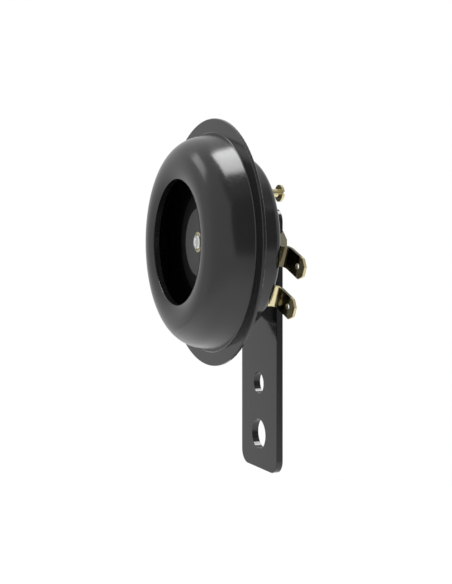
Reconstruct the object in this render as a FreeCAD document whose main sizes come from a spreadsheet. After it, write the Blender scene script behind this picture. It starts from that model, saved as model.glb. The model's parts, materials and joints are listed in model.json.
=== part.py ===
import FreeCAD, Part
import math
import os
import re
import Sketcher
from FreeCAD import Placement, Rotation, Vector

# Electric disc horn on a flat steel bracket, in millimetres.
# The axis of the horn runs along Y and its mouth faces -Y. The origin is the centre of the large
# hole at the foot of the bracket, half way through the bar.
# The pieces of the horn are drawn about their own Y axis. Their depths are counted from the front
# face of the flange, rearwards, so what lies in front of the flange has a negative depth.

DIMENSIONS = {
    # Bracket
    "bracket_width": 23.4,
    "bracket_thick": 2.1,
    "bracket_top": 9.8,
    "bracket_bottom": 10.2,
    "bracket_corner": 4.0,
    "bracket_chamfer": 0.15,
    "large_hole_radius": 4.5,
    "small_hole_radius": 3.25,
    "hole_spacing": 15.2,
    "axis_height": 57.2,
    # Housing, a stepped cup drawn from sheet steel
    "flange_radius": 36.0,
    "rim_round": 0.25,
    "cup_sheet": 1.0,
    "cup_radius": 25.4,
    "cup_depth": 11.2,
    "boss_radius": 12.6,
    "boss_length": 4.35,
    "bend_radius": 0.75,
    # Front cover, a rolled shell held by bent tabs
    "cover_sheet": 0.8,
    "wall_radius": 30.85,
    "wall_height": 1.85,
    "roll_radius": 9.15,
    "foot_flare": 0.2,
    "foot_height": 0.1,
    "mouth_radius": 18.15,
    "mouth_round": 0.4,
    "lip_length": 2.6,
    "tab_count": 6,
    "tab_width": 4.0,
    "tab_reach": 2.6,
    "slot_gap": 0.15,
    # Riveted stack of gasket, diaphragm and clamp ring
    "stack_gap": 0.4,
    "gasket_inner": 26.2,
    "gasket_thick": 0.4,
    "diaphragm_thick": 0.3,
    "step_outer": 21.0,
    "step_inner": 19.6,
    "step_height": 0.5,
    "clamp_thick": 0.8,
    "rivet_count": 6,
    "rivet_angle": 30.0,
    "rivet_circle": 27.9,
    "rivet_radius": 1.0,
    "rivet_head": 1.8,
    "rivet_head_height": 0.7,
    # Armature, its stud and what the stud carries
    "fit_gap": 0.05,
    "stud_radius": 2.15,
    "stud_proud": 0.55,
    "recess_radius": 1.4,
    "recess_depth": 0.2,
    "stud_washer_radius": 3.0,
    "stud_washer_thick": 0.3,
    "tone_radius": 15.5,
    "plateau_radius": 9.9,
    "tone_sheet": 0.6,
    "tone_drop": 0.85,
    "collar_radius": 4.5,
    "collar_length": 1.3,
    "hub_radius": 4.5,
    "hub_length": 2.2,
    "armature_radius": 8.5,
    "armature_thick": 2.4,
    "air_gap": 0.7,
    # Electromagnet and its threaded post
    "core_radius": 5.0,
    "post_radius": 2.5,
    "post_proud": 0.4,
    "post_chamfer": 0.5,
    "bobbin_radius": 10.8,
    "coil_gap": 0.65,
    "bobbin_wall": 0.8,
    "winding_radius": 10.4,
    "lock_washer_radius": 4.6,
    "lock_washer_thick": 1.2,
    "lock_washer_angle": 350.0,
    "nut_across": 8.0,
    "nut_thick": 2.7,
    "nut_angle": 30.0,
    # Locking plate, whose ear is bent back over the side of the bar
    "lock_plate_radius": 8.0,
    "lock_plate_thick": 0.8,
    "ear_low": 1.6,
    "ear_high": 1.5,
    "ear_crest": 3.2,
    "ear_crest_back": 0.4,
    "ear_tip_low": 1.0,
    "ear_tip_high": 0.7,
    "ear_reach": 0.85,
    "ear_gap": 0.1,
    # Contact breaker, seen along the line from the axis to the adjusting screw
    "breaker_angle": 45.0,
    "breaker_line": 18.9,
    "arm_width": 4.6,
    "arm_tail": 10.4,
    "arm_head": 7.6,
    "arm_thick": 1.0,
    "leaf_thick": 0.3,
    "finger_side": 2.8,
    "finger_width": 4.0,
    "finger_end": 5.2,
    "tip_side": 5.4,
    "tip_radius": 1.5,
    "tip_thick": 0.6,
    "pad_place": 6.5,
    "pad_radius": 1.1,
    "pad_thick": 0.5,
    "pad_gap": 0.55,
    "post_side": 8.0,
    "insulator_size": 4.6,
    "washer_plate_thick": 0.5,
    # Adjusting screw and its bush
    "screw_circle": 19.8,
    "screw_radius": 1.25,
    "screw_reach": 4.6,
    "screw_head_radius": 2.45,
    "screw_head_thick": 0.9,
    "screw_slot_width": 0.7,
    "screw_slot_depth": 0.5,
    "screw_chamfer": 0.2,
    "bush_radius": 3.2,
    "bush_neck": 2.3,
    "bush_rim": 2.8,
    "bush_flange_thick": 1.3,
    "bush_rim_thick": 0.4,
    # Terminals and the insulating base that they stand in
    "terminal_angle": -26.7,
    "terminal_plane": 21.2,
    "terminal_spacing": 12.7,
    "strip_width": 6.3,
    "strip_thick": 0.8,
    "strip_bend": 1.6,
    "shoulder_height": 0.6,
    "leg_length": 0.85,
    "blade_angle": 5.0,
    "blade_length": 7.8,
    "blade_chamfer": 1.75,
    "blade_hole_radius": 0.9,
    "blade_hole_place": 4.45,
    "tail_width": 3.0,
    "tail_shift": 0.6,
    "tail_length": 1.4,
    "base_inner": 16.4,
    "base_outer": 23.1,
    "base_half": 9.6,
    "base_thick": 1.5,
    "block_wall": 0.9,
    "base_rivet_place": 18.6,
}

# Places that follow from the dimensions, each written once.
PLACES = {
    "seat_depth": "plate_back + bracket_thick / 2",
    "cup_floor": "cup_depth - cup_sheet",
    "boss_face": "cup_depth + boss_length",
    "boss_floor": "boss_face - cup_sheet",
    "cup_inner": "cup_radius - cup_sheet",
    "boss_inner": "boss_radius - cup_sheet",
    "wall_inner": "wall_radius - cover_sheet",
    "roll_centre": "wall_radius - roll_radius",
    "lip_outer": "mouth_radius + cover_sheet",
    "round_across": "mouth_radius + mouth_round",
    "round_depth": "-wall_height - sqrt((roll_radius - mouth_round)^2 - (roll_centre - round_across)^2)",
    "round_stretch": "roll_radius / (roll_radius - mouth_round)",
    "roll_end_across": "roll_centre + (round_across - roll_centre) * round_stretch",
    "roll_end_depth": "-wall_height + (round_depth + wall_height) * round_stretch",
    "inner_edge": "-wall_height - sqrt((roll_radius - cover_sheet)^2 - (roll_centre - lip_outer)^2)",
    "lip_end": "lip_length - wall_height - roll_radius",
    "stack_radius": "wall_inner - stack_gap",
    "diaphragm_front": "-gasket_thick - diaphragm_thick",
    "clamp_front": "diaphragm_front - clamp_thick",
    "rivet_hole": "rivet_radius + fit_gap",
    "rivet_dome": "(rivet_head^2 + rivet_head_height^2) / (2 * rivet_head_height)",
    "stud_bore": "stud_radius + fit_gap",
    "seat_front": "diaphragm_front - step_height",
    "tone_back": "seat_front - collar_length",
    "tone_front": "tone_back - tone_sheet",
    "washer_front": "tone_front - stud_washer_thick",
    "stud_front": "washer_front - stud_proud",
    "armature_front": "seat_front + diaphragm_thick",
    "plate_front": "armature_front + hub_length",
    "armature_back": "plate_front + armature_thick",
    "core_front": "armature_back + air_gap",
    "post_bore": "post_radius + fit_gap",
    "bobbin_bore": "core_radius + fit_gap",
    "bobbin_barrel": "bobbin_bore + bobbin_wall",
    "bobbin_front": "leaf_back + coil_gap",
    "plate_back": "boss_face + lock_plate_thick",
    "bracket_back": "plate_back + bracket_thick",
    "ear_inner": "bracket_width / 2 + ear_gap",
    "ear_outer": "ear_inner + lock_plate_thick",
    "ear_end": "bracket_back + ear_reach",
    "nut_front": "bracket_back + lock_washer_thick",
    "nut_back": "nut_front + nut_thick",
    "nut_corner": "nut_across / sqrt(3)",
    "post_end": "nut_back + post_proud",
    "pad_front": "armature_back + pad_gap",
    "leaf_front": "pad_front + pad_thick",
    "leaf_back": "leaf_front + leaf_thick",
    "tips_meet": "leaf_back + tip_thick",
    "arm_front": "tips_meet + tip_thick",
    "arm_back": "arm_front + arm_thick",
    "arm_inner": "breaker_line - arm_width / 2",
    "arm_outer": "breaker_line + arm_width / 2",
    "screw_bore": "screw_radius + fit_gap",
    "screw_head_front": "cup_depth + screw_reach",
    "screw_head_back": "screw_head_front + screw_head_thick",
    "base_front": "cup_floor - base_thick",
    "shoulder": "cup_depth + shoulder_height",
    "bend_start": "shoulder + leg_length",
    "strip_inner": "terminal_plane - strip_thick / 2",
    "strip_outer": "terminal_plane + strip_thick / 2",
    "bend_centre": "strip_outer + strip_bend",
    "bend_outer": "strip_bend + strip_thick",
    "tail_place": "terminal_spacing / 2 - tail_shift",
}

WORD = re.compile("[a-z_]+")
NEAR = 0.001

doc = FreeCAD.newDocument("DiscHorn")
sheet = doc.addObject("Spreadsheet::Sheet", "Dims")
for row, (alias, size) in enumerate(DIMENSIONS.items(), start=1):
    sheet.set("A%d" % row, alias)
    sheet.set("B%d" % row, str(size))
    sheet.setAlias("B%d" % row, alias)
doc.recompute()


def tied(text):
    """An expression in which each name points at its cell of the sheet."""
    def link(match):
        word = match.group()
        if word in DIMENSIONS:
            return "Dims." + word
        if word in PLACES:
            return "(" + tied(PLACES[word]) + ")"
        return word
    return WORD.sub(link, text)


def value(text):
    """The number that an expression gives with the sheet as it is."""
    return float(sheet.evalExpression(tied(text)))


def new_body(label):
    """An empty body whose label names the sub-part."""
    body = doc.addObject("PartDesign::Body", label)
    body.Label = label
    return body


def base_feature(body, role):
    """One of the body's own origin planes or axes."""
    return next(feature for feature in body.Origin.OriginFeatures if feature.Role == role)


def new_sketch(body, role, across="0", up="0", out="0", turn=None):
    """A sketch on an origin plane, moved in that plane and along its normal, and turned."""
    sketch = body.newObject("Sketcher::SketchObject", body.Label + "_sketch")
    sketch.AttachmentSupport = [(base_feature(body, role), "")]
    sketch.MapMode = "FlatFace"
    if turn:
        axis, angle = turn
        sketch.AttachmentOffset = Placement(Vector(), Rotation(axis, value(angle)))
        sketch.setExpression("AttachmentOffset.Rotation.Angle", tied(angle))
    for letter, text in zip("xyz", (across, up, out)):
        if text != "0":
            sketch.setExpression("AttachmentOffset.Base." + letter, tied(text))
    return sketch


def tie_coordinate(sketch, curve, end, kind, text):
    """Ties one coordinate of a curve's point to the sheet, or puts the point on the axis if it is 0."""
    if text == "0":
        axis = -2 if kind == "DistanceX" else -1
        sketch.addConstraint(Sketcher.Constraint("PointOnObject", curve, end, axis))
        return
    index = sketch.addConstraint(Sketcher.Constraint(kind, -1, 1, curve, end, value(text)))
    sketch.setExpression("Constraints[%d]" % index, tied(text))


def tie_point(sketch, curve, end, x, y):
    """Ties one point of a curve to its coordinates in the sketch."""
    tie_coordinate(sketch, curve, end, "DistanceX", x)
    tie_coordinate(sketch, curve, end, "DistanceY", y)


def add_circle(sketch, x, y, radius):
    """A circle with its centre and radius tied to the sheet."""
    centre = Vector(value(x), value(y), 0)
    curve = sketch.addGeometry(Part.Circle(centre, Vector(0, 0, 1), value(radius)), False)
    tie_point(sketch, curve, 3, x, y)
    index = sketch.addConstraint(Sketcher.Constraint("Radius", curve, value(radius)))
    sketch.setExpression("Constraints[%d]" % index, tied(radius))


def arc_between(start, end, centre):
    """The shorter arc from start to end, and whether it runs anticlockwise."""
    first = math.atan2(start.y - centre.y, start.x - centre.x)
    last = math.atan2(end.y - centre.y, end.x - centre.x)
    anticlockwise = (last - first) % (2 * math.pi) < math.pi
    if not anticlockwise:
        first, last = last, first
    circle = Part.Circle(centre, Vector(0, 0, 1), (start - centre).Length)
    return Part.ArcOfCircle(circle, first, last), anticlockwise


def add_outline(sketch, corners):
    """A closed outline. A corner with a third item starts an arc about that centre."""
    points = [Vector(value(corner[0]), value(corner[1]), 0) for corner in corners]
    ends = []
    for number, corner in enumerate(corners):
        start = points[number]
        end = points[(number + 1) % len(points)]
        if len(corner) == 2:
            curve = sketch.addGeometry(Part.LineSegment(start, end), False)
            ends.append((curve, 1, 2))
            continue
        centre = Vector(value(corner[2][0]), value(corner[2][1]), 0)
        arc, anticlockwise = arc_between(start, end, centre)
        curve = sketch.addGeometry(arc, False)
        ends.append((curve, 1, 2) if anticlockwise else (curve, 2, 1))
    for number, corner in enumerate(corners):
        curve, start, end = ends[number]
        before = ends[number - 1]
        sketch.addConstraint(Sketcher.Constraint("Coincident", before[0], before[2], curve, start))
        tie_point(sketch, curve, start, corner[0], corner[1])
        if len(corner) > 2:
            chord = points[(number + 1) % len(points)] - points[number]
            x, y = corner[2]
            if abs(chord.x) > abs(chord.y):
                tie_coordinate(sketch, curve, 3, "DistanceY", y)
            else:
                tie_coordinate(sketch, curve, 3, "DistanceX", x)


def box_outline(x_low, x_high, y_low, y_high):
    """The four corners of a rectangle."""
    return [(x_low, y_low), (x_high, y_low), (x_high, y_high), (x_low, y_high)]


def revolve(body, sketch, angle="360"):
    """Turns a sketch about its vertical axis."""
    solid = body.newObject("PartDesign::Revolution", body.Label + "_turned")
    solid.Profile = sketch
    solid.ReferenceAxis = (sketch, ["V_Axis"])
    solid.setExpression("Angle", tied(angle))
    doc.recompute()
    return solid


def pad(body, sketch, length, both_sides=False):
    """Pushes a sketch out along its normal, or half to each side."""
    solid = body.newObject("PartDesign::Pad", body.Label + "_pad")
    solid.Profile = sketch
    solid.setExpression("Length", tied(length))
    if both_sides:
        solid.SideType = "Symmetric"
    doc.recompute()
    return solid


def cut_through(body, sketch):
    """Cuts a sketch through the whole body, to both sides."""
    cut = body.newObject("PartDesign::Pocket", body.Label + "_cut")
    cut.Profile = sketch
    cut.Type = "ThroughAll"
    cut.Midplane = True
    doc.recompute()
    return cut


def cut_forwards(body, sketch, depth):
    """Cuts a sketch that lies on the XZ plane towards the front."""
    cut = body.newObject("PartDesign::Pocket", body.Label + "_cut")
    cut.Profile = sketch
    cut.setExpression("Length", tied(depth))
    cut.Reversed = True
    doc.recompute()
    return cut


def repeat_round(body, feature, count):
    """Repeats a feature evenly about the body's Y axis."""
    pattern = body.newObject("PartDesign::PolarPattern", body.Label + "_pattern")
    pattern.Originals = [feature]
    pattern.Axis = (base_feature(body, "Y_Axis"), [""])
    pattern.Angle = 360
    pattern.setExpression("Occurrences", tied(count))
    body.Tip = pattern
    doc.recompute()
    return pattern


def edges_where(feature, test):
    """The names of the feature's edges that pass a test."""
    return ["Edge%d" % number for number, edge in enumerate(feature.Shape.Edges, start=1) if test(edge)]


def ring(radius, depth):
    """A test for a round edge of this radius at this depth."""
    def test(edge):
        if not isinstance(edge.Curve, Part.Circle):
            return False
        same_radius = abs(edge.Curve.Radius - value(radius)) < NEAR
        return same_radius and abs(edge.Curve.Center.y - value(depth)) < NEAR
    return test


def any_of(*tests):
    """A test that passes where one of the tests does."""
    return lambda edge: any(test(edge) for test in tests)


def dress(body, kind, test, size):
    """Rounds or chamfers the edges of the body's tip that pass a test."""
    tip = body.Tip
    feature = body.newObject("PartDesign::" + kind, body.Label + "_" + kind.lower())
    feature.Base = (tip, edges_where(tip, test))
    feature.setExpression("Radius" if kind == "Fillet" else "Size", tied(size))
    doc.recompute()
    return feature


def turned(label, corners, angle="360"):
    """A body of revolution about Y, from a half section of radius and depth."""
    body = new_body(label)
    sketch = new_sketch(body, "XY_Plane")
    add_outline(sketch, corners)
    revolve(body, sketch, angle)
    return body


def sleeve(label, inner, outer, front, back):
    """A plain ring."""
    return turned(label, box_outline(inner, outer, front, back))


def plate(label, back, thick, corners, holes=()):
    """A flat piece across the axis, with its rear face at a depth, and round holes."""
    body = new_body(label)
    sketch = new_sketch(body, "XZ_Plane", out="-(" + back + ")")
    add_outline(sketch, corners)
    for hole in holes:
        add_circle(sketch, *hole)
    pad(body, sketch, thick)
    return body


def place(body, turn="0", out="0", side="0"):
    """Seats a body on the horn's axis, turned about it and moved out along the turned lines."""
    rotation = Rotation(Vector(0, -1, 0), value(turn))
    shift = rotation.multVec(Vector(value(out), 0, value(side)))
    centre = Vector(0, -value("seat_depth"), value("axis_height"))
    body.Placement = Placement(centre + shift, rotation)


# Housing and front cover

def rivet_holes(body):
    """The holes for the rivets that clamp the diaphragm."""
    sketch = new_sketch(body, "XZ_Plane", turn=(Vector(0, 0, 1), "rivet_angle"))
    add_circle(sketch, "rivet_circle", "0", "rivet_hole")
    repeat_round(body, cut_through(body, sketch), "rivet_count")


def make_housing():
    """The stepped cup with its flange, the holes in its floor and the slots for the tabs."""
    body = turned("housing", [
        ("flange_radius", "0"),
        ("flange_radius", "cup_sheet"),
        ("cup_radius", "cup_sheet"),
        ("cup_radius", "cup_depth"),
        ("boss_radius", "cup_depth"),
        ("boss_radius", "boss_face"),
        ("post_bore", "boss_face"),
        ("post_bore", "boss_floor"),
        ("boss_inner", "boss_floor"),
        ("boss_inner", "cup_floor"),
        ("cup_inner", "cup_floor"),
        ("cup_inner", "0"),
    ])
    outside_bends = any_of(
        ring("cup_radius", "cup_depth"),
        ring("cup_inner", "0"),
        ring("boss_inner", "cup_floor"),
        ring("boss_radius", "boss_face"),
    )
    dress(body, "Fillet", outside_bends, "bend_radius + cup_sheet")
    inside_bends = any_of(
        ring("cup_inner", "cup_floor"),
        ring("cup_radius", "cup_sheet"),
        ring("boss_radius", "cup_depth"),
        ring("boss_inner", "boss_floor"),
    )
    dress(body, "Fillet", inside_bends, "bend_radius")
    rim = any_of(ring("flange_radius", "0"), ring("flange_radius", "cup_sheet"))
    dress(body, "Fillet", rim, "min(rim_round; cup_sheet * 0.4)")
    rivet_holes(body)
    slot = new_sketch(body, "XZ_Plane")
    half_slot = "tab_width / 2 + slot_gap"
    add_outline(slot, box_outline("wall_inner - slot_gap", "wall_radius + slot_gap",
                                  "-(" + half_slot + ")", half_slot))
    repeat_round(body, cut_through(body, slot), "tab_count")
    breaker = new_sketch(body, "XZ_Plane", turn=(Vector(0, 0, 1), "breaker_angle"))
    add_circle(breaker, "screw_circle", "0", "bush_neck + fit_gap")
    add_circle(breaker, "breaker_line", "post_side", "rivet_hole")
    cut_through(body, breaker)
    window = new_sketch(body, "XZ_Plane", turn=(Vector(0, 0, 1), "terminal_angle"))
    add_circle(window, "base_rivet_place", "0", "rivet_hole")
    for side in ("", "-"):
        add_outline(window, block_outline(side, "fit_gap"))
    cut_through(body, window)
    place(body)


def block_outline(side, gap):
    """The outline, in plan, of the block that a terminal's tail passes through."""
    middle = side + "(tail_place)"
    half = "(tail_width / 2 + block_wall + " + gap + ")"
    reach = "block_wall + " + gap
    return box_outline("strip_inner - (" + reach + ")", "strip_outer + " + reach,
                       middle + " - " + half, middle + " + " + half)


def make_front_cover():
    """The rolled shell round the mouth, with tabs bent behind the flange."""
    body = turned("front_cover", [
        ("wall_radius + foot_flare", "0"),
        ("wall_radius + foot_flare", "-foot_height"),
        ("wall_radius", "-foot_height - foot_flare"),
        ("wall_radius", "-wall_height", ("roll_centre", "-wall_height")),
        ("roll_end_across", "roll_end_depth", ("round_across", "round_depth")),
        ("mouth_radius", "round_depth"),
        ("mouth_radius", "lip_end"),
        ("lip_outer", "lip_end"),
        ("lip_outer", "inner_edge", ("roll_centre", "-wall_height")),
        ("wall_inner", "-wall_height"),
        ("wall_inner", "0"),
    ])
    profile = new_sketch(body, "XY_Plane")
    add_outline(profile, [
        ("wall_inner", "-foot_height"),
        ("wall_radius", "-foot_height"),
        ("wall_radius", "cup_sheet"),
        ("wall_radius + tab_reach", "cup_sheet"),
        ("wall_radius + tab_reach", "cup_sheet + cover_sheet"),
        ("wall_inner", "cup_sheet + cover_sheet"),
    ])
    tab = pad(body, profile, "tab_width", both_sides=True)
    repeat_round(body, tab, "tab_count")
    place(body)


# Gasket, diaphragm, clamp ring and rivets

def make_clamped_stack():
    """The layers that the flange rivets hold, from the flange forwards."""
    gasket = sleeve("gasket", "gasket_inner", "stack_radius", "-gasket_thick", "0")
    diaphragm = turned("diaphragm", [
        ("stud_bore", "seat_front"),
        ("step_inner", "seat_front"),
        ("step_outer", "diaphragm_front"),
        ("stack_radius", "diaphragm_front"),
        ("stack_radius", "-gasket_thick"),
        ("step_outer", "-gasket_thick"),
        ("step_inner", "armature_front"),
        ("stud_bore", "armature_front"),
    ])
    clamp_ring = sleeve("clamp_ring", "gasket_inner", "stack_radius", "clamp_front", "diaphragm_front")
    for layer in (gasket, diaphragm, clamp_ring):
        rivet_holes(layer)
        place(layer)


def rivet_corners(front, back):
    """The half section of a rivet with two domed heads on faces at two depths."""
    front_top = front + " - rivet_head_height"
    back_top = back + " + rivet_head_height"
    return [
        ("0", front_top, ("0", front_top + " + rivet_dome")),
        ("rivet_head", front),
        ("rivet_radius", front),
        ("rivet_radius", back),
        ("rivet_head", back, ("0", back_top + " - rivet_dome")),
        ("0", back_top),
    ]


def make_flange_rivets():
    """The rivets round the flange, one solid each."""
    body = new_body("flange_rivets")
    profile = new_sketch(body, "XY_Plane", across="rivet_circle")
    add_outline(profile, rivet_corners("clamp_front", "cup_sheet"))
    repeat_round(body, revolve(body, profile), "rivet_count")
    place(body, turn="rivet_angle")


# Armature and what moves with it

def make_armature_set():
    """The armature, its stud and the pieces clamped on the stud."""
    armature = turned("armature", [
        ("stud_radius", "armature_front"),
        ("hub_radius", "armature_front"),
        ("hub_radius", "plate_front"),
        ("armature_radius", "plate_front"),
        ("armature_radius", "armature_back"),
        ("stud_radius", "armature_back"),
    ])
    stud = turned("armature_stud", [
        ("0", "stud_front + recess_depth"),
        ("recess_radius - recess_depth", "stud_front + recess_depth"),
        ("recess_radius", "stud_front"),
        ("stud_radius - recess_depth", "stud_front"),
        ("stud_radius", "stud_front + recess_depth"),
        ("stud_radius", "armature_back"),
        ("0", "armature_back"),
    ])
    collar = sleeve("spacer_collar", "stud_bore", "collar_radius", "tone_back", "seat_front")
    tone_disc = turned("tone_disc", [
        ("stud_bore", "tone_front"),
        ("plateau_radius", "tone_front"),
        ("tone_radius", "tone_front + tone_drop"),
        ("tone_radius", "tone_back + tone_drop"),
        ("plateau_radius", "tone_back"),
        ("stud_bore", "tone_back"),
    ])
    washer = sleeve("stud_washer", "stud_bore", "stud_washer_radius", "washer_front", "tone_front")
    for body in (armature, stud, collar, tone_disc, washer):
        place(body)


# Electromagnet, and the nut that clamps the bracket

def make_electromagnet():
    """The pole core with its threaded post, the bobbin and the winding."""
    core = turned("pole_core", [
        ("0", "core_front"),
        ("core_radius", "core_front"),
        ("core_radius", "boss_floor"),
        ("post_radius", "boss_floor"),
        ("post_radius", "post_end - post_chamfer"),
        ("post_radius - post_chamfer", "post_end"),
        ("0", "post_end"),
    ])
    bobbin = turned("coil_bobbin", [
        ("bobbin_bore", "bobbin_front"),
        ("bobbin_radius", "bobbin_front"),
        ("bobbin_radius", "bobbin_front + bobbin_wall"),
        ("bobbin_barrel", "bobbin_front + bobbin_wall"),
        ("bobbin_barrel", "boss_floor - bobbin_wall"),
        ("bobbin_radius", "boss_floor - bobbin_wall"),
        ("bobbin_radius", "boss_floor"),
        ("bobbin_bore", "boss_floor"),
    ])
    winding = sleeve("coil_winding", "bobbin_barrel", "winding_radius",
                     "bobbin_front + bobbin_wall", "boss_floor - bobbin_wall")
    for body in (core, bobbin, winding):
        place(body)


def make_nut_and_washer():
    """The split lock washer and the chamfered hexagon nut on the post."""
    section = box_outline("post_bore", "lock_washer_radius", "bracket_back", "nut_front")
    washer = turned("lock_washer", section, angle="lock_washer_angle")
    place(washer)
    hexagon = [("nut_corner * cos(nut_angle + %d)" % angle, "nut_corner * sin(nut_angle + %d)" % angle)
               for angle in range(0, 360, 60)]
    nut = plate("mount_nut", "nut_back", "nut_thick", hexagon, [("0", "0", "post_bore")])
    crown = new_sketch(nut, "XY_Plane")
    add_outline(crown, [
        ("nut_across / 2", "nut_back"),
        ("nut_across", "nut_back"),
        ("nut_across", "nut_back - nut_across / 2 * tan(30)"),
    ])
    groove = nut.newObject("PartDesign::Groove", "mount_nut_crown")
    groove.Profile = crown
    groove.ReferenceAxis = (crown, ["V_Axis"])
    groove.Angle = 360
    doc.recompute()
    place(nut)


def make_bracket():
    """The flat bar with rounded corners that carries the horn."""
    half = "bracket_width / 2"
    corners = box_outline("-" + half, half, "-bracket_bottom", "axis_height + bracket_top")
    holes = [
        ("0", "0", "large_hole_radius"),
        ("0", "hole_spacing", "small_hole_radius"),
        ("0", "axis_height", "post_bore + fit_gap"),
    ]
    body = plate("bracket", "bracket_thick / 2", "bracket_thick", corners, holes)

    def corner_edge(edge):
        return isinstance(edge.Curve, Part.Line) and edge.BoundBox.YLength > value("bracket_thick") - NEAR

    def face_edge(edge):
        return edge.BoundBox.YLength < NEAR and not edge.isClosed()

    dress(body, "Fillet", corner_edge, "bracket_corner")
    dress(body, "Chamfer", face_edge, "min(bracket_chamfer; bracket_thick * 0.4)")


def make_locking_plate():
    """The plate between the housing and the bar, with an ear that keeps the bar from turning."""
    body = new_body("locking_plate")
    disc_and_arm = new_sketch(body, "XZ_Plane", out="-(plate_back)")
    centre = ("0", "0")
    add_outline(disc_and_arm, [
        ("sqrt(lock_plate_radius^2 - ear_low^2)", "-ear_low"),
        ("ear_outer", "-ear_low"),
        ("ear_outer", "ear_high"),
        ("sqrt(lock_plate_radius^2 - ear_high^2)", "ear_high", centre),
        ("-lock_plate_radius", "0", centre),
    ])
    add_circle(disc_and_arm, "0", "0", "post_bore")
    pad(body, disc_and_arm, "lock_plate_thick")
    ear = new_sketch(body, "YZ_Plane", out="ear_inner")
    add_outline(ear, [
        ("boss_face", "-ear_low"),
        ("bracket_back", "-ear_low"),
        ("ear_end", "-ear_tip_low"),
        ("ear_end", "ear_tip_high"),
        ("bracket_back - ear_crest_back", "ear_crest"),
        ("plate_back", "ear_high"),
        ("boss_face", "ear_high"),
    ])
    pad(body, ear, "lock_plate_thick")

    def outside_bend(edge):
        box = edge.BoundBox
        upright = box.XLength < NEAR and box.YLength < NEAR
        in_front = abs(box.YMin - value("boss_face")) < NEAR
        return upright and in_front and abs(box.XMin - value("ear_outer")) < NEAR

    dress(body, "Fillet", outside_bend, "lock_plate_thick * 0.9")
    place(body)


# Contact breaker

def make_breaker():
    """The contact breaker's arms, insulators, tips and rivet, stacked on the housing floor."""
    half = "insulator_size / 2"
    square = box_outline("breaker_line - " + half, "breaker_line + " + half,
                         "post_side - " + half, "post_side + " + half)
    post_hole = [("breaker_line", "post_side", "rivet_hole")]
    arm_outline = box_outline("arm_inner", "arm_outer", "-arm_head", "arm_tail")
    finger_low = "-finger_side - finger_width / 2"
    finger_high = "-finger_side + finger_width / 2"
    leaf_outline = [
        ("arm_inner", "arm_tail"),
        ("arm_outer", "arm_tail"),
        ("arm_outer", "-arm_head"),
        ("arm_inner", "-arm_head"),
        ("arm_inner", finger_low),
        ("finger_end", finger_low),
        ("finger_end", finger_high),
        ("arm_inner", finger_high),
    ]
    pieces = [
        plate("breaker_block", "cup_floor", "cup_floor - arm_back", square, post_hole),
        plate("fixed_contact_arm", "arm_back", "arm_thick", arm_outline, post_hole),
        plate("contact_spacer", "arm_front", "2 * tip_thick", square, post_hole),
        plate("moving_contact_leaf", "leaf_back", "leaf_thick", leaf_outline, post_hole),
        plate("leaf_insulator", "leaf_front", "washer_plate_thick", square, post_hole),
    ]
    for body in pieces:
        place(body, turn="breaker_angle")
    insulator_front = "leaf_front - washer_plate_thick"
    small_turnings = [
        (turned("breaker_rivet", rivet_corners(insulator_front, "cup_depth")), "breaker_line", "post_side"),
        (disc("fixed_contact_tip", "tip_radius", "tips_meet", "arm_front"), "breaker_line", "-tip_side"),
        (disc("moving_contact_tip", "tip_radius", "leaf_back", "tips_meet"), "breaker_line", "-tip_side"),
        (disc("leaf_pad", "pad_radius", "pad_front", "leaf_front"), "pad_place", "-finger_side"),
    ]
    for body, out, side in small_turnings:
        place(body, turn="breaker_angle", out=out, side=side)


def disc(label, radius, front, back):
    """A plain round piece."""
    return turned(label, [("0", front), (radius, front), (radius, back), ("0", back)])


def make_adjusting_screw():
    """The slotted screw that sets the fixed contact, and the bush it turns in."""
    bush = turned("screw_bush", [
        ("screw_bore", "cup_floor - bush_flange_thick"),
        ("bush_radius", "cup_floor - bush_flange_thick"),
        ("bush_radius", "cup_floor"),
        ("bush_neck", "cup_floor"),
        ("bush_neck", "cup_depth"),
        ("bush_rim", "cup_depth"),
        ("bush_rim", "cup_depth + bush_rim_thick"),
        ("screw_bore", "cup_depth + bush_rim_thick"),
    ])
    screw = turned("adjusting_screw", [
        ("0", "arm_back"),
        ("screw_radius - screw_chamfer", "arm_back"),
        ("screw_radius", "arm_back + screw_chamfer"),
        ("screw_radius", "screw_head_front"),
        ("screw_head_radius", "screw_head_front"),
        ("screw_head_radius", "screw_head_back - screw_chamfer"),
        ("screw_head_radius - screw_chamfer", "screw_head_back"),
        ("0", "screw_head_back"),
    ])
    slot = new_sketch(screw, "XZ_Plane", out="-(screw_head_back)")
    half = "screw_slot_width / 2"
    add_outline(slot, box_outline("-screw_head_radius * 2", "screw_head_radius * 2", "-" + half, half))
    cut_forwards(screw, slot, "screw_slot_depth")
    for body in (bush, screw):
        place(body, turn="breaker_angle", out="screw_circle")
    screw.Placement.Rotation = Rotation()


# Terminals

def make_terminal_base():
    """The insulating base inside the floor, with a block through the floor at each terminal."""
    body = new_body("terminal_base")
    slab = new_sketch(body, "XZ_Plane", out="-cup_floor")
    reach = "sqrt(base_outer^2 - base_half^2)"
    add_outline(slab, [
        ("base_inner", "-base_half"),
        (reach, "-base_half", ("0", "0")),
        (reach, "base_half"),
        ("base_inner", "base_half"),
    ])
    pad(body, slab, "base_thick")
    blocks = new_sketch(body, "XZ_Plane", out="-(shoulder)")
    for side in ("", "-"):
        add_outline(blocks, block_outline(side, "0"))
    pad(body, blocks, "shoulder - base_front")
    holes = new_sketch(body, "XZ_Plane")
    add_circle(holes, "base_rivet_place", "0", "rivet_hole")
    half = "(tail_width / 2 + fit_gap)"
    for side in ("", "-"):
        middle = side + "(tail_place)"
        add_outline(holes, box_outline("strip_inner - fit_gap", "strip_outer + fit_gap",
                                       middle + " - " + half, middle + " + " + half))
    cut_through(body, holes)
    place(body, turn="terminal_angle")
    rivet = turned("base_rivet", rivet_corners("base_front", "cup_depth"))
    place(rivet, turn="terminal_angle", out="base_rivet_place")


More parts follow.
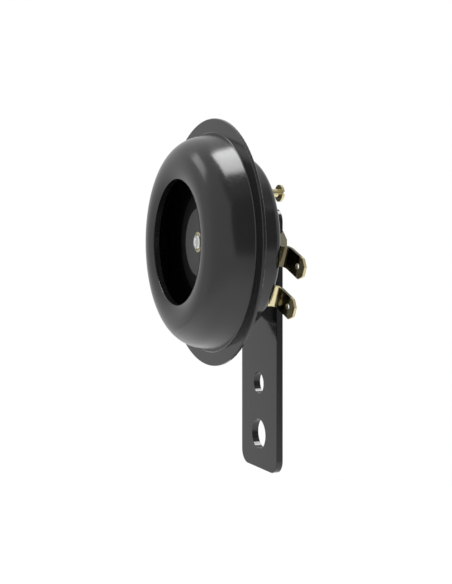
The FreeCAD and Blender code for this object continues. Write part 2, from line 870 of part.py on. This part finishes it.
def bend_point(radius):
    """Where the terminal's bend of this radius runs into the blade."""
    return ("bend_centre - " + radius + " * sin(blade_angle)",
            "bend_start + " + radius + " * cos(blade_angle)")


def along_blade(start, length):
    """A point further along the blade."""
    return (start[0] + " + " + length + " * cos(blade_angle)",
            start[1] + " + " + length + " * sin(blade_angle)")


def make_terminal(label, side):
    """A blade terminal: a tail in the base, a leg, a bend and a drilled blade."""
    body = new_body(label)
    inner_end = bend_point("strip_bend")
    outer_end = bend_point("bend_outer")
    profile = new_sketch(body, "XY_Plane")
    add_outline(profile, [
        ("strip_outer", "shoulder"),
        ("strip_outer", "bend_start", ("bend_centre", "bend_start")),
        inner_end,
        along_blade(inner_end, "blade_length"),
        along_blade(outer_end, "blade_length"),
        (*outer_end, ("bend_centre", "bend_start")),
        ("strip_inner", "bend_start"),
        ("strip_inner", "shoulder"),
    ])
    pad(body, profile, "strip_width", both_sides=True)

    def tip_edge(edge):
        across_strip = abs(edge.Length - value("strip_thick")) < NEAR and edge.BoundBox.ZLength < NEAR
        return across_strip and edge.BoundBox.XMin > value("bend_centre")

    dress(body, "Chamfer", tip_edge, "blade_chamfer")
    tail = new_sketch(body, "XY_Plane", out=("-" if side > 0 else "") + "tail_shift")
    add_outline(tail, box_outline("strip_inner", "strip_outer",
                                  "base_front - tail_length", "shoulder + leg_length / 2"))
    pad(body, tail, "tail_width", both_sides=True)
    hole_across, hole_depth = along_blade(outer_end, "blade_hole_place")
    hole = new_sketch(body, "XZ_Plane", across=hole_across, out="-(" + hole_depth + ")",
                      turn=(Vector(0, 1, 0), "blade_angle"))
    add_circle(hole, "0", "0", "blade_hole_radius")
    cut_through(body, hole)
    place(body, turn="terminal_angle", side="%d * terminal_spacing / 2" % side)


def check_and_export():
    """Stops if a feature failed or a shape is bad, and then writes each sub-part."""
    doc.recompute()
    failed = [item.Label for item in doc.Objects if "Invalid" in item.State or "Error" in item.State]
    if failed:
        raise RuntimeError("failed: " + ", ".join(failed))
    bodies = [item for item in doc.Objects if item.TypeId == "PartDesign::Body"]
    for body in bodies:
        if body.Shape.isNull() or not body.Shape.isValid():
            raise RuntimeError("bad shape: " + body.Label)
    os.makedirs("parts", exist_ok=True)
    for body in bodies:
        body.Shape.exportStep("parts/" + body.Label + ".step")
        print("%-20s %d solid(s) %10.2f mm3" % (body.Label, len(body.Shape.Solids), body.Shape.Volume))


make_bracket()
make_housing()
make_front_cover()
make_clamped_stack()
make_flange_rivets()
make_armature_set()
make_electromagnet()
make_nut_and_washer()
make_locking_plate()
make_breaker()
make_adjusting_screw()
make_terminal_base()
make_terminal("terminal_upper", 1)
make_terminal("terminal_lower", -1)
check_and_export()
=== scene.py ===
import json
import math

import bmesh
import bpy
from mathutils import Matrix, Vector

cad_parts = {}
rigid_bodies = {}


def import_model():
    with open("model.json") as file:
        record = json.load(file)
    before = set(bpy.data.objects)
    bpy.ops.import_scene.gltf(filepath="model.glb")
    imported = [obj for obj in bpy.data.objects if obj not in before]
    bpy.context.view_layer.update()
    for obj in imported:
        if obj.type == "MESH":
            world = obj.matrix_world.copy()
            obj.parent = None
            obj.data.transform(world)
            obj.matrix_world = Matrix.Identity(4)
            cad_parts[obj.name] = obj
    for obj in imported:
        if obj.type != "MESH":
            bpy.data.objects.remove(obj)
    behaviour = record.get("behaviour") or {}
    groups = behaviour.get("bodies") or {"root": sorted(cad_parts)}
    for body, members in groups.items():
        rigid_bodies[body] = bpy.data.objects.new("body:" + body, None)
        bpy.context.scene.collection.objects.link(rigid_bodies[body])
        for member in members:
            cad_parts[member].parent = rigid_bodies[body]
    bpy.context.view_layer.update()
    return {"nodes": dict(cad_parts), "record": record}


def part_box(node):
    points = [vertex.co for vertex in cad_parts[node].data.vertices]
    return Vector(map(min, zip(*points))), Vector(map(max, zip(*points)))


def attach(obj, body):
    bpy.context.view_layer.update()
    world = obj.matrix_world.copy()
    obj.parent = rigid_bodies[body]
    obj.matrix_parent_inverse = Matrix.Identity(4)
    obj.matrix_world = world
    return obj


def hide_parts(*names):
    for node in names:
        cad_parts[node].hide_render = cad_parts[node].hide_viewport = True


# Electric disc horn on a flat bracket, dressed for a plain white studio.
# Lengths are in metres. The mouth faces -Y, and the horn's axis runs along Y at the height AXIS_Z.
# The frame's own pieces get their finish here, and the front cover is made anew.

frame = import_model()

MM = 0.001
AXIS_Z = 57.2 * MM
FLANGE_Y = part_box("housing")[0][1]


# Camera, whose focal length and shift are in the same unit as the frame's height

FRAME_HEIGHT = 584
FOCAL_LENGTH = 1056
SHIFT_DOWN = 49.85
SENSOR = 36.0
EYE = Vector((283.19, -140.32, 57.2)) * MM
FORWARD = Vector((-0.9106, 0.4134, 0.0))


def make_camera():
    """A level camera at the height of the axis, to the right of the mouth."""
    camera = bpy.data.objects.new("camera", bpy.data.cameras.new("camera"))
    bpy.context.scene.collection.objects.link(camera)
    camera.location = EYE
    camera.rotation_euler = FORWARD.to_track_quat("-Z", "Y").to_euler()
    camera.data.sensor_width = SENSOR
    camera.data.lens = SENSOR * FOCAL_LENGTH / FRAME_HEIGHT
    camera.data.shift_y = -SHIFT_DOWN / FRAME_HEIGHT
    camera.data.clip_start = 0.01
    camera.data.clip_end = 100.0
    bpy.context.scene.camera = camera


# Node helpers

# The Mix node's sockets for colours
MIX_COLOUR_A = 6
MIX_COLOUR_B = 7
MIX_COLOUR_OUT = 2


def node(tree, kind, inputs=None, **settings):
    """A shader node with its settings, and its inputs given as values or as sockets to link."""
    made = tree.nodes.new("ShaderNode" + kind)
    for name, setting in settings.items():
        setattr(made, name, setting)
    for name, source in (inputs or {}).items():
        if isinstance(source, bpy.types.NodeSocket):
            tree.links.new(source, made.inputs[name])
        else:
            made.inputs[name].default_value = source
    return made


def maths(tree, operation, first, second):
    """One step of arithmetic on two values or sockets."""
    return node(tree, "Math", {0: first, 1: second}, operation=operation).outputs["Value"]


def vector_maths(tree, operation, *vectors):
    """One step of arithmetic on vectors, which gives a length, a dot product or a vector."""
    step = node(tree, "VectorMath", dict(enumerate(vectors)), operation=operation)
    return step.outputs["Value" if operation in ("LENGTH", "DOT_PRODUCT") else "Vector"]


def spread(tree, source, first, last, start=0.3, end=0.7, curve="LINEAR"):
    """A source's range, by default the middle of a pattern's, spread from a first value to a last one."""
    inputs = {"Value": source, "From Min": start, "From Max": end, "To Min": first, "To Max": last}
    return node(tree, "MapRange", inputs, interpolation_type=curve).outputs["Result"]


def from_axis(tree, place):
    """A place in the frame, counted from the horn's axis."""
    return vector_maths(tree, "SUBTRACT", place, (0, 0, AXIS_Z))


def new_material(name, **uniform):
    """A material with its tree, its shader and the object's own coordinates."""
    material = bpy.data.materials.new(name)
    material.use_nodes = True
    tree = material.node_tree
    shader = tree.nodes["Principled BSDF"]
    for socket, setting in uniform.items():
        shader.inputs[socket.replace("_", " ")].default_value = setting
    return material, tree, shader, node(tree, "TexCoord").outputs["Object"]


def noise(tree, place, scale, stretch=(1, 1, 1), turn=0.0, detail=3.0):
    """A noise pattern, stretched along the axes after a turn about Y."""
    mapped = node(tree, "Mapping", {"Vector": place, "Rotation": (0, turn, 0)})
    scaled = node(tree, "Mapping", {"Vector": mapped.outputs["Vector"], "Scale": stretch})
    inputs = {"Vector": scaled.outputs["Vector"], "Scale": scale, "Detail": detail}
    return node(tree, "TexNoise", inputs).outputs["Fac"]


def wave_scale(pitch):
    """The scale of a wave pattern that repeats at this length."""
    return math.pi / 10 / pitch


def tint(tree, shader, pattern, first, second):
    """The base colour, between two colours as a pattern says."""
    inputs = {"Factor": pattern, MIX_COLOUR_A: (*first, 1), MIX_COLOUR_B: (*second, 1)}
    mix = node(tree, "Mix", inputs, data_type="RGBA")
    tree.links.new(mix.outputs[MIX_COLOUR_OUT], shader.inputs["Base Color"])


def grade(tree, shader, pattern, first, last, start=0.3, end=0.7):
    """The roughness, between two values as a pattern says."""
    tree.links.new(spread(tree, pattern, first, last, start, end), shader.inputs["Roughness"])


def relief(tree, shader, height, depth, strength=1.0):
    """A fine relief, whose depth is in millimetres."""
    bump = node(tree, "Bump", {"Height": height, "Distance": depth * MM, "Strength": strength})
    tree.links.new(bump.outputs["Normal"], shader.inputs["Normal"])


# Finishes, one for each material slot of the record

# The way the terminals point, and where their brass turns from painted shade to bright brass
TERMINAL_TURN = math.radians(-26.7)
BLADE_MIDDLE = 27.4 * MM
BLADE_FRONT = -3.0 * MM
BETWEEN_TERMINALS = -9.7 * MM
TIP_FADE = 0.8 * MM
LEG_FADE = 0.3 * MM
# The axis that the adjusting screw, its bush and the contacts share
SCREW_X = 14.0007 * MM
SCREW_Z = 71.2007 * MM
# The step round the flat middle of the tone disc
STEP_RADIUS = 9.9 * MM
STEP_FADE = 0.1 * MM
FINE_GRAIN = 1500.0
TOOL_MARK_PITCH = 0.18 * MM
WIRE_PITCH = 0.45 * MM


def paler(colour, times):
    """A colour made this many times as bright."""
    return [part * times for part in colour]


def gloss_paint(name, colour, rough):
    """Glossy stove enamel over sheet steel, with a faint orange peel."""
    material, tree, shader, place = new_material(name, IOR=1.5)
    tint(tree, shader, noise(tree, place, scale=60.0), colour, paler(colour, 1.35))
    grade(tree, shader, noise(tree, place, scale=900.0), rough, rough + 0.05)
    relief(tree, shader, noise(tree, place, scale=700.0, detail=1.0), depth=0.004, strength=0.5)
    return material


def dull_grain(tree, shader, place, scale, rough):
    """The fine grain of a dull surface."""
    fine = noise(tree, place, scale)
    grade(tree, shader, fine, rough, rough + 0.15)
    relief(tree, shader, fine, depth=0.01, strength=0.5)


def matt_coat(name, colour, rough, grain=FINE_GRAIN, specular=0.5):
    """A dull coat or moulding with a fine grain."""
    material, tree, shader, place = new_material(name, Specular_IOR_Level=specular)
    tint(tree, shader, noise(tree, place, scale=150.0), colour, paler(colour, 1.5))
    dull_grain(tree, shader, place, grain, rough)
    return material


def coat_with_painted_lit_middle(name, lit_middle, outer, rough):
    """A dull coat whose flat middle, inside the tone disc's step, is painted a lighter grey as painted
    reflected light, while the ring round it keeps the disc's plain black.
    """
    material, tree, shader, place = new_material(name, Specular_IOR_Level=0.1)
    flat = vector_maths(tree, "MULTIPLY", from_axis(tree, place), (1, 0, 1))
    radius = vector_maths(tree, "LENGTH", flat)
    step = spread(tree, radius, 0.0, 1.0, STEP_RADIUS, STEP_RADIUS + STEP_FADE)
    tint(tree, shader, step, lit_middle, outer)
    dull_grain(tree, shader, place, FINE_GRAIN, rough)
    return material


def rolled_metal(name, colour, second, rough, stretch=(1, 1, 12)):
    """Rolled strip or plated metal, with a fine grain along one direction."""
    material, tree, shader, place = new_material(name, Metallic=1.0)
    tint(tree, shader, noise(tree, place, scale=250.0), colour, second)
    grain = noise(tree, place, scale=700.0, stretch=stretch)
    grade(tree, shader, grain, rough, rough + 0.12)
    relief(tree, shader, grain, depth=0.003, strength=0.4)
    return material


def brass_with_painted_shade(name, lit_brass, shaded_brass, rough):
    """The brass strip of the terminals, painted dark as painted shade but for the tips of the blades and
    the lower terminal's leg, which keep the bright brass as painted light, so the two terminals are lit
    and shaded copies of one brass.
    """
    material, tree, shader, place = new_material(name, Metallic=1.0)
    outwards = (math.cos(TERMINAL_TURN), 0.0, math.sin(TERMINAL_TURN))
    centred = from_axis(tree, place)
    along = vector_maths(tree, "DOT_PRODUCT", centred, outwards)
    tip = spread(tree, along, 0.0, 1.0, BLADE_MIDDLE, BLADE_MIDDLE + TIP_FADE)
    parts = node(tree, "SeparateXYZ", {"Vector": centred}).outputs
    # Painted light: only the lower terminal's leg is bright, while the upper one's stays painted dark.
    lower = maths(tree, "LESS_THAN", parts["Z"], BETWEEN_TERMINALS)
    lit_leg = spread(tree, parts["Y"], 1.0, 0.0, BLADE_FRONT - LEG_FADE, BLADE_FRONT)
    lit_parts = maths(tree, "MAXIMUM", tip, maths(tree, "MULTIPLY", lower, lit_leg))
    cloud = spread(tree, noise(tree, place, scale=250.0), 0.85, 1.0)
    tint(tree, shader, maths(tree, "MULTIPLY", lit_parts, cloud), shaded_brass, lit_brass)
    grain = noise(tree, place, scale=700.0, stretch=(12, 1, 1), turn=TERMINAL_TURN)
    grained = spread(tree, grain, rough, rough + 0.12)
    rough_tip = maths(tree, "MULTIPLY", tip, 0.3)
    tree.links.new(maths(tree, "ADD", grained, rough_tip), shader.inputs["Roughness"])
    relief(tree, shader, grain, depth=0.003, strength=0.4)
    return material


def turned_metal(name, colour, second, rough, x, z):
    """Turned metal, with tool marks in fine rings about an axis parallel to Y."""
    material, tree, shader, place = new_material(name, Metallic=1.0)
    tint(tree, shader, noise(tree, place, scale=300.0), colour, second)
    centred = node(tree, "Mapping", {"Vector": place, "Location": (-x, 0, -z)}).outputs["Vector"]
    inputs = {"Vector": centred, "Scale": wave_scale(TOOL_MARK_PITCH), "Distortion": 0.4,
              "Detail Scale": 3.0}
    marks = node(tree, "TexWave", inputs, wave_type="RINGS", rings_direction="Y").outputs["Fac"]
    grade(tree, shader, marks, rough, rough + 0.1, start=0.1, end=0.9)
    relief(tree, shader, marks, depth=0.004, strength=0.3)
    return material


def wound_copper(name):
    """Enamelled wire in neat turns."""
    material, tree, shader, place = new_material(name, Metallic=1.0)
    inputs = {"Vector": place, "Scale": wave_scale(WIRE_PITCH), "Distortion": 0.2}
    turns = node(tree, "TexWave", inputs, wave_type="BANDS", bands_direction="Y").outputs["Fac"]
    tint(tree, shader, turns, (0.32, 0.1, 0.04), (0.72, 0.3, 0.14))
    grade(tree, shader, turns, 0.45, 0.28, start=0.1, end=0.9)
    relief(tree, shader, turns, depth=0.15)
    return material


finishes = {
    "black_paint": gloss_paint("black_paint", (0.008, 0.008, 0.0085), rough=0.1),
    "cover_black": gloss_paint("cover_black", (0.008, 0.008, 0.0085), rough=0.17),
    "bracket_black": gloss_paint("bracket_black", (0.009, 0.009, 0.0095), rough=0.05),
    # disc_black: the lighter grey middle is painted reflected light, and the darker ring is the disc's
    # own black.
    "disc_black": coat_with_painted_lit_middle("disc_black", (0.1, 0.1, 0.1), (0.009, 0.009, 0.009), rough=0.5),
    # Painted shade: the parts with these two slots lie deep in the cavity behind the cover's mouth, and
    # their near-black colour with almost no gloss stands for the shade there.
    "spring_steel": matt_coat("spring_steel", (0.002, 0.002, 0.002), rough=0.6, specular=0.05),
    "black_coat": matt_coat("black_coat", (0.002, 0.002, 0.002), rough=0.6, specular=0.05),
    "steel": rolled_metal("steel", (0.45, 0.45, 0.46), (0.55, 0.55, 0.55), rough=0.3),
    "stud_steel": turned_metal("stud_steel", (0.62, 0.62, 0.62), (0.74, 0.74, 0.74), rough=0.18,
                               x=0.0, z=AXIS_Z),
    # brass: the dark colour is painted shade over most of the strip, and the bright brass shows only on
    # the blade tips and the lower terminal's leg, as painted light.
    "brass": brass_with_painted_shade("brass", (0.62, 0.55, 0.33), (0.115, 0.1, 0.058), rough=0.12),
    "turned_brass": turned_metal("turned_brass", (0.57, 0.5, 0.29), (0.62, 0.56, 0.35), rough=0.14,
                                 x=SCREW_X, z=SCREW_Z),
    "yellow_zinc": rolled_metal("yellow_zinc", (0.3, 0.28, 0.21), (0.34, 0.31, 0.21), rough=0.28,
                                stretch=(1, 1, 1)),
    "bronze_leaf": rolled_metal("bronze_leaf", (0.7, 0.45, 0.26), (0.76, 0.52, 0.32), rough=0.25),
    "contact_metal": turned_metal("contact_metal", (0.8, 0.8, 0.78), (0.88, 0.88, 0.86), rough=0.25,
                                  x=SCREW_X, z=SCREW_Z),
    "enamel_copper": wound_copper("enamel_copper"),
    "nylon": matt_coat("nylon", (0.6, 0.57, 0.47), rough=0.4),
    "phenolic": matt_coat("phenolic", (0.1, 0.05, 0.025), rough=0.5, grain=900.0),
    "base_black": matt_coat("base_black", (0.012, 0.012, 0.012), rough=0.4),
    "gasket_fibre": matt_coat("gasket_fibre", (0.03, 0.03, 0.03), rough=0.8, grain=700.0),
}


def dress_nodes():
    """Gives each node of the frame the finish of its material slot."""
    for part in frame["record"]["subparts"]:
        for holder in frame["nodes"][part["node"]].material_slots:
            holder.material = finishes[part["material_slot"]]


# Front cover, whose wall leans out in one smooth line from the roll to the flange.
# Its sizes are in millimetres of radius about the axis and of depth behind the flange's front,
# and its angles are in degrees.

COVER_SHEET = 0.8
ROLL_CENTRE = (21.7, -1.85)
ROLL_RADIUS = 9.15
WALL_LEAN = 18.0
FOOT_FLARE = 0.2
FOOT_HEIGHT = 0.1
MOUTH_RADIUS = 18.15
MOUTH_ROUND = 0.4
LIP_END = -8.4
TAB_COUNT = 6
TAB_WIDTH = 4.0
TAB_SECTION = [(30.05, -1.9), (30.85, -1.9), (30.85, 1.0), (33.45, 1.0), (33.45, 1.8), (30.05, 1.8)]
COVER_SEGMENTS = 192
SHARP_EDGE = 30.0


def arc(centre, radius, start, end, steps):
    """Points of radius and depth on an arc, whose angles are measured from the front outwards."""
    across, depth = centre
    angles = [math.radians(start + (end - start) * step / steps) for step in range(steps + 1)]
    return [(across + radius * math.sin(angle), depth - radius * math.cos(angle)) for angle in angles]


def down_to_flange(point, depth):
    """Where the leaning wall that starts at a point reaches a depth."""
    return point[0] + (depth - point[1]) * math.tan(math.radians(WALL_LEAN)), depth


def shell_section():
    """The closed section of the shell, its outer side first."""
    wall = 90.0 - WALL_LEAN
    inner_radius = ROLL_RADIUS - COVER_SHEET
    round_across = MOUTH_RADIUS + MOUTH_ROUND
    round_end = math.degrees(math.asin((round_across - ROLL_CENTRE[0]) / (ROLL_RADIUS - MOUTH_ROUND)))
    round_depth = ROLL_CENTRE[1] - (ROLL_RADIUS - MOUTH_ROUND) * math.cos(math.radians(round_end))
    inner_end = math.degrees(math.asin((MOUTH_RADIUS + COVER_SHEET - ROLL_CENTRE[0]) / inner_radius))
    outside = arc(ROLL_CENTRE, ROLL_RADIUS, wall, round_end, steps=40)
    inside = arc(ROLL_CENTRE, inner_radius, inner_end, wall, steps=30)
    foot = down_to_flange(outside[0], 0.0)[0] + FOOT_FLARE
    wall_end = down_to_flange(outside[0], -FOOT_HEIGHT - FOOT_FLARE)
    mouth = arc((round_across, round_depth), MOUTH_ROUND, round_end, -90.0, steps=6)
    lip = [(MOUTH_RADIUS, LIP_END), (MOUTH_RADIUS + COVER_SHEET, LIP_END)]
    inner_foot = down_to_flange(inside[-1], 0.0)
    return [(foot, 0.0), (foot, -FOOT_HEIGHT), wall_end, *outside, *mouth[1:], *lip, *inside, inner_foot]


def about_axis(radius, depth, angle, side=0.0):
    """A place in the frame, from a radius, a depth, an angle about the axis and a shift sideways."""
    x = radius * math.cos(angle) - side * math.sin(angle)
    z = radius * math.sin(angle) + side * math.cos(angle)
    return x * MM, FLANGE_Y + depth * MM, AXIS_Z + z * MM


def join_loops(shape, first, second):
    """Faces between two closed loops of the same number of points."""
    for number in range(len(first)):
        shape.faces.new((first[number - 1], first[number], second[number], second[number - 1]))


def cover_shape():
    """The rolled shell, and the tabs that are bent over behind the flange."""
    shape = bmesh.new()
    section = shell_section()
    loops = []
    for step in range(COVER_SEGMENTS):
        angle = 2 * math.pi * step / COVER_SEGMENTS
        loops.append([shape.verts.new(about_axis(*point, angle)) for point in section])
    for step in range(COVER_SEGMENTS):
        join_loops(shape, loops[step - 1], loops[step])
    for step in range(TAB_COUNT):
        angle = 2 * math.pi * step / TAB_COUNT
        low, high = ([shape.verts.new(about_axis(*point, angle, side)) for point in TAB_SECTION]
                     for side in (-TAB_WIDTH / 2, TAB_WIDTH / 2))
        join_loops(shape, low, high)
        shape.faces.new(low)
        shape.faces.new(high)
    bmesh.ops.recalc_face_normals(shape, faces=shape.faces)
    for face in shape.faces:
        face.smooth = True
    return shape


def make_front_cover():
    """The rolled cover, which stands for the cover's plain solid."""
    mesh = bpy.data.meshes.new("rolled_cover")
    shape = cover_shape()
    shape.to_mesh(mesh)
    shape.free()
    mesh.set_sharp_from_angle(angle=math.radians(SHARP_EDGE))
    mesh.materials.append(finishes["cover_black"])
    cover = bpy.data.objects.new("rolled_cover", mesh)
    bpy.context.scene.collection.objects.link(cover)
    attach(cover, "horn_body")
    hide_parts("front_cover")


# Studio

PLAIN_LEVEL = 0.7
GLOSS_LEVEL = 0.97
FLOOR_Z = -90 * MM
FLOOR_RADIUS = 0.34
LAMP_DISTANCE = 1.1


def ray_kinds(tree):
    """Whether a ray comes from the camera, and whether it comes from a mirror-like or clear surface."""
    path = node(tree, "LightPath")
    mirrored = maths(tree, "MAXIMUM", path.outputs["Is Glossy Ray"], path.outputs["Is Transmission Ray"])
    return path.outputs["Is Camera Ray"], mirrored


def patch(tree, way, centre, start, end, change):
    """A change of level round one direction, from none at one angle to all of it at another."""
    across = vector_maths(tree, "DOT_PRODUCT", way, centre)
    rim, core = (math.cos(math.radians(angle)) for angle in (start, end))
    return spread(tree, across, 0.0, change, rim, core, curve="SMOOTHSTEP")


def make_world():
    """White for the camera, nearly white with dim sides for reflections, and plain for the rest."""
    world = bpy.data.worlds.new("studio")
    world.use_nodes = True
    bpy.context.scene.world = world
    tree = world.node_tree
    camera, mirrored = ray_kinds(tree)
    way = node(tree, "TexCoord").outputs["Generated"]
    dark_right = patch(tree, way, (0.953, 0.083, 0.292), start=39, end=29, change=-0.68)
    dim_above = patch(tree, way, (0.46, 0.0, 0.89), start=37, end=24, change=-0.52)
    grey_left = patch(tree, way, (-0.966, -0.259, 0.0), start=45, end=25, change=-0.22)
    darker = maths(tree, "ADD", maths(tree, "MINIMUM", dark_right, dim_above), grey_left)
    in_gloss = maths(tree, "ADD", GLOSS_LEVEL - PLAIN_LEVEL, darker)
    for_gloss = maths(tree, "MULTIPLY", mirrored, in_gloss)
    for_camera = maths(tree, "MULTIPLY", camera, 1 - PLAIN_LEVEL)
    strength = maths(tree, "ADD", PLAIN_LEVEL, maths(tree, "ADD", for_gloss, for_camera))
    background = tree.nodes["Background"]
    background.inputs["Color"].default_value = (1, 1, 1, 1)
    tree.links.new(strength, background.inputs["Strength"])


def make_floor():
    """A pale floor well below the horn, which fades to white away from it."""
    mesh = bpy.data.meshes.new("floor")
    shape = bmesh.new()
    bmesh.ops.create_circle(shape, cap_ends=True, radius=FLOOR_RADIUS, segments=96)
    shape.to_mesh(mesh)
    shape.free()
    floor = bpy.data.objects.new("floor", mesh)
    bpy.context.scene.collection.objects.link(floor)
    floor.location = (0, 0, FLOOR_Z)
    material, tree, shader, place = new_material("floor", Roughness=0.9)
    shader.inputs["Base Color"].default_value = (0.8, 0.8, 0.8, 1)
    shader.inputs["Emission Color"].default_value = (1, 1, 1, 1)
    camera, mirrored = ray_kinds(tree)
    away = vector_maths(tree, "LENGTH", place)
    to_camera = spread(tree, away, 0.15, 0.6, start=0.05, end=0.3, curve="SMOOTHSTEP")
    to_gloss = spread(tree, away, 0.6, 0.2, start=0.1, end=0.33, curve="SMOOTHSTEP")
    for_camera = maths(tree, "MULTIPLY", camera, to_camera)
    for_gloss = maths(tree, "MULTIPLY", mirrored, to_gloss)
    tree.links.new(maths(tree, "ADD", for_camera, for_gloss), shader.inputs["Emission Strength"])
    mesh.materials.append(material)


def soft_box(name, way, width, height, level, in_gloss):
    """A rectangular lamp that faces the horn from a direction, with its brightness as a level of white.

    It either shows in gloss or lights everything else.
    """
    lamp = bpy.data.lights.new(name, "AREA")
    lamp.shape = "RECTANGLE"
    lamp.size = width
    lamp.size_y = height
    lamp.energy = level * math.pi * width * height
    box = bpy.data.objects.new(name, lamp)
    bpy.context.scene.collection.objects.link(box)
    way = Vector(way).normalized()
    box.location = Vector((0, 0, AXIS_Z)) + way * LAMP_DISTANCE
    box.rotation_euler = way.to_track_quat("Z", "Y").to_euler()
    box.visible_camera = False
    box.visible_diffuse = not in_gloss
    box.visible_glossy = in_gloss
    return box


def leave_out(lamp, *node_names):
    """Keeps a lamp off some nodes of the frame, once every other mesh is in the scene."""
    unlit = [frame["nodes"][name] for name in node_names]
    shown_on = bpy.data.collections.new(lamp.name + "_shown_on")
    for item in bpy.context.scene.objects:
        if item.type == "MESH" and item not in unlit:
            shown_on.objects.link(item)
    lamp.light_linking.receiver_collection = shown_on


def make_lamps():
    """Panels overhead and in front that show in the gloss, and a soft light from above.

    The overhead panel's reflection is kept off the housing, the terminals and the screw.
    """
    panel_over = soft_box("panel_over", (0.0, 0.165, 1.0), width=0.68, height=1.02, level=10.0,
                          in_gloss=True)
    leave_out(panel_over, "housing", "terminal_upper", "terminal_lower", "adjusting_screw")
    soft_box("panel_front", (-0.51, -0.61, 0.6), width=0.46, height=0.28, level=2.1, in_gloss=True)
    soft_box("soft_over", (0.15, -0.25, 1.0), width=0.7, height=0.7, level=2.6, in_gloss=False)


bpy.context.scene.view_settings.view_transform = "Standard"
make_camera()
dress_nodes()
make_front_cover()
make_world()
make_floor()
make_lamps()
